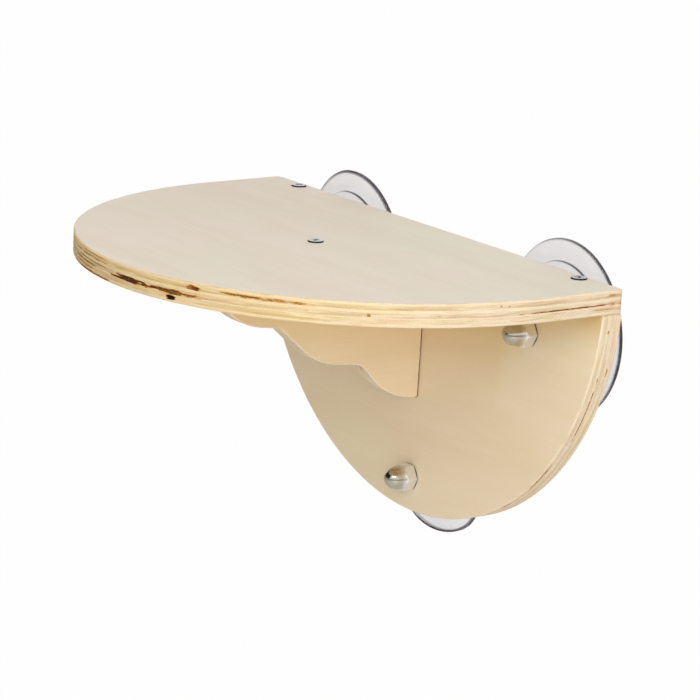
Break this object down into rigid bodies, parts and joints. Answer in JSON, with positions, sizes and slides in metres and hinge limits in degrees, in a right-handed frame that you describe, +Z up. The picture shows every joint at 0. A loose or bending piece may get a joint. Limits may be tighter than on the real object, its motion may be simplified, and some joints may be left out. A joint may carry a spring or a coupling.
{
  "type": "window mounted cat perch",
  "caption": "D-shaped plywood cat shelf with a half-round back board, a scalloped bracket and clear suction cups that hold it to a window pane.",
  "frame": {"origin": "the point on the window pane at the height of the shelf's top face and at its mid width; the pane is the plane y = 0", "axes": "+X along the window, to the right as seen from the room; +Y through the glass to the outside; +Z up"},
  "size_m": [0.295, 0.201, 0.173],
  "materials": {
    "birch_plywood": "sanded plywood faces with banded, unfilled edges",
    "clear_vinyl": "clear soft vinyl, moulded smooth",
    "nickel_plate": "bright nickel plate",
    "zinc_steel": "bright zinc plated steel"
  },
  "bodies": {
    "perch_frame": {"shelf_board": "birch_plywood", "back_board": "birch_plywood", "bracket": "birch_plywood", "shelf_screw_left": "zinc_steel", "shelf_screw_right": "zinc_steel", "shelf_screw_middle": "zinc_steel", "bracket_screw_upper": "zinc_steel", "bracket_screw_lower": "zinc_steel"},
    "nut_left": {"cap_nut_left": "nickel_plate"},
    "nut_right": {"cap_nut_right": "nickel_plate"},
    "nut_lower": {"cap_nut_lower": "nickel_plate"},
    "stud_left": {"cup_stud_left": "zinc_steel"},
    "stud_right": {"cup_stud_right": "zinc_steel"},
    "stud_lower": {"cup_stud_lower": "zinc_steel"},
    "cup_left": {"suction_cup_left": "clear_vinyl"},
    "cup_right": {"suction_cup_right": "clear_vinyl"},
    "cup_lower": {"suction_cup_lower": "clear_vinyl"}
  },
  "joints": [
    {"name": "nut_left_turn", "type": "hinge", "parent": "perch_frame", "child": "nut_left", "pos_m": [-0.0915, -0.03, -0.032], "axis": [0, -1, 0], "range_deg": [0, 2160]},
    {"name": "stud_left_draw", "type": "slide", "parent": "perch_frame", "child": "stud_left", "axis": [0, 1, 0], "range_m": [0, 0.0075]},
    {"name": "cup_left_press", "type": "slide", "parent": "stud_left", "child": "cup_left", "axis": [0, -1, 0], "range_m": [0, 0.004], "stiffness_N_per_m": 1500, "deforming": ["suction_cup_left"]},
    {"name": "nut_right_turn", "type": "hinge", "parent": "perch_frame", "child": "nut_right", "pos_m": [0.0915, -0.03, -0.032], "axis": [0, -1, 0], "range_deg": [0, 2160]},
    {"name": "stud_right_draw", "type": "slide", "parent": "perch_frame", "child": "stud_right", "axis": [0, 1, 0], "range_m": [0, 0.0075]},
    {"name": "cup_right_press", "type": "slide", "parent": "stud_right", "child": "cup_right", "axis": [0, -1, 0], "range_m": [0, 0.004], "stiffness_N_per_m": 1500, "deforming": ["suction_cup_right"]},
    {"name": "nut_lower_turn", "type": "hinge", "parent": "perch_frame", "child": "nut_lower", "pos_m": [0, -0.03, -0.128], "axis": [0, -1, 0], "range_deg": [0, 2160]},
    {"name": "stud_lower_draw", "type": "slide", "parent": "perch_frame", "child": "stud_lower", "axis": [0, 1, 0], "range_m": [0, 0.0075]},
    {"name": "cup_lower_press", "type": "slide", "parent": "stud_lower", "child": "cup_lower", "axis": [0, -1, 0], "range_m": [0, 0.004], "stiffness_N_per_m": 1500, "deforming": ["suction_cup_lower"]}
  ],
  "couplings": [
    {"joint": "stud_left_draw", "follows": "nut_left_turn", "m_per_rad": 0.00019894},
    {"joint": "stud_right_draw", "follows": "nut_right_turn", "m_per_rad": 0.00019894},
    {"joint": "stud_lower_draw", "follows": "nut_lower_turn", "m_per_rad": 0.00019894}
  ]
}
